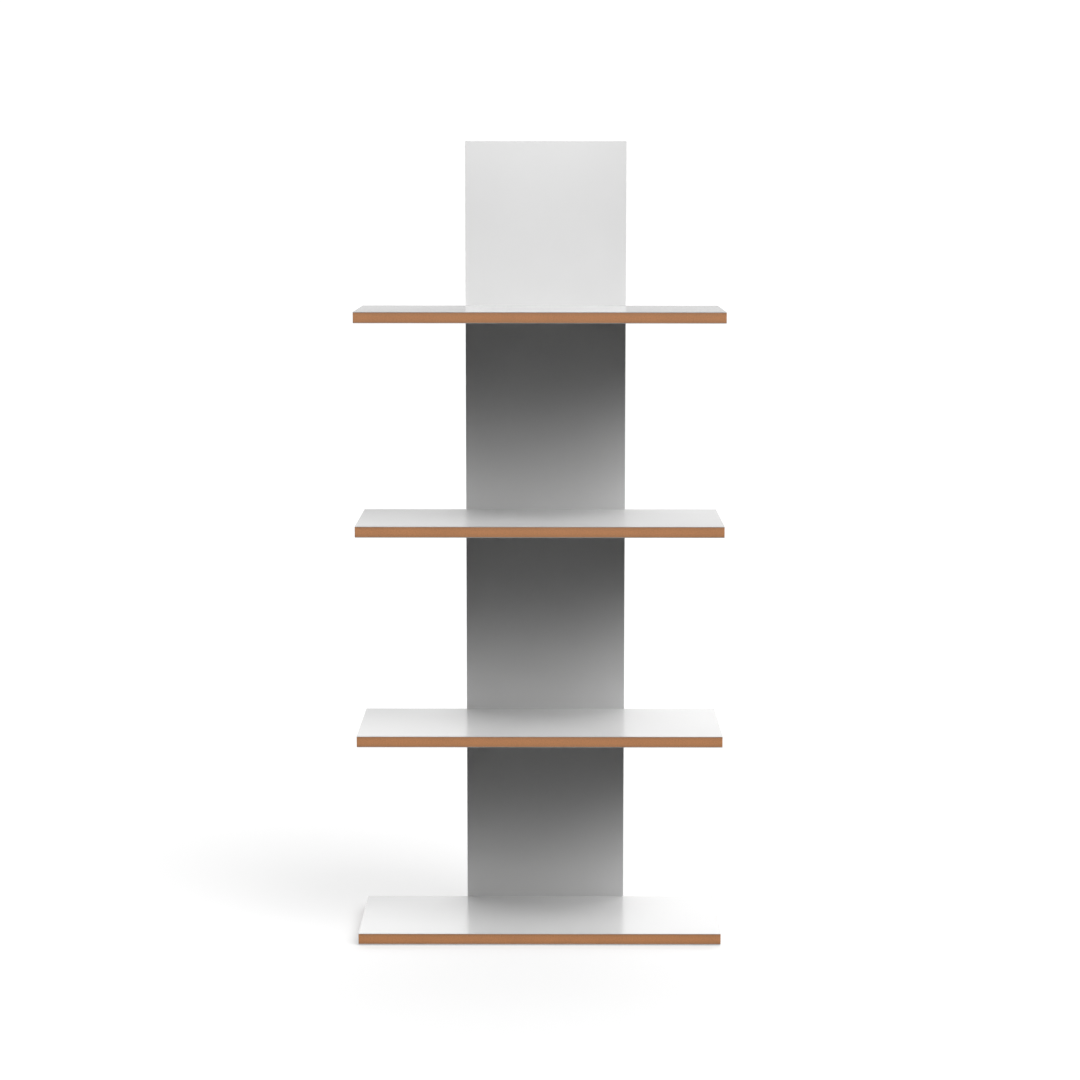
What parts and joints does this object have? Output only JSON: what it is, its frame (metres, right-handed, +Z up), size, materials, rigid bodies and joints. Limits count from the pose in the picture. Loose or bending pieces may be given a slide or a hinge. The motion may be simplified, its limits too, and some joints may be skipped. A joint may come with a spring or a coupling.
{
  "type": "gondola shelving unit",
  "caption": "Free-standing single-sided display shelf: one narrow upright white back panel carries three white shelves and a matching floor base, all with bare brown edges.",
  "frame": {"origin": "middle of the footprint, on the floor under the glides", "axes": "+X to the right seen from the front, +Y from the front edge to the back, +Z up"},
  "size_m": [0.6, 0.248, 1.322],
  "materials": {
    "board_core": "bare caramel-brown fibreboard edge, fine fibre speckle, satin",
    "white_laminate": "white laminate, smooth satin",
    "zinc_steel": "bright zinc-plated steel",
    "beech": "bare beech, fluted",
    "nylon": "off-white moulded nylon"
  },
  "bodies": {
    "root": {"back_panel_core": "board_core", "back_panel_front_laminate": "white_laminate", "back_panel_rear_laminate": "white_laminate", "top_shelf_core": "board_core", "top_shelf_upper_laminate": "white_laminate", "top_shelf_lower_laminate": "white_laminate", "middle_shelf_core": "board_core", "middle_shelf_upper_laminate": "white_laminate", "middle_shelf_lower_laminate": "white_laminate", "lower_shelf_core": "board_core", "lower_shelf_upper_laminate": "white_laminate", "lower_shelf_lower_laminate": "white_laminate", "base_core": "board_core", "base_upper_laminate": "white_laminate", "base_lower_laminate": "white_laminate", "top_shelf_screws": "zinc_steel", "middle_shelf_screws": "zinc_steel", "lower_shelf_screws": "zinc_steel", "base_screws": "zinc_steel", "top_shelf_dowels": "beech", "middle_shelf_dowels": "beech", "lower_shelf_dowels": "beech", "base_dowels": "beech", "base_glides": "nylon", "panel_glides": "nylon", "glide_nails": "zinc_steel"}
  },
  "joints": []
}
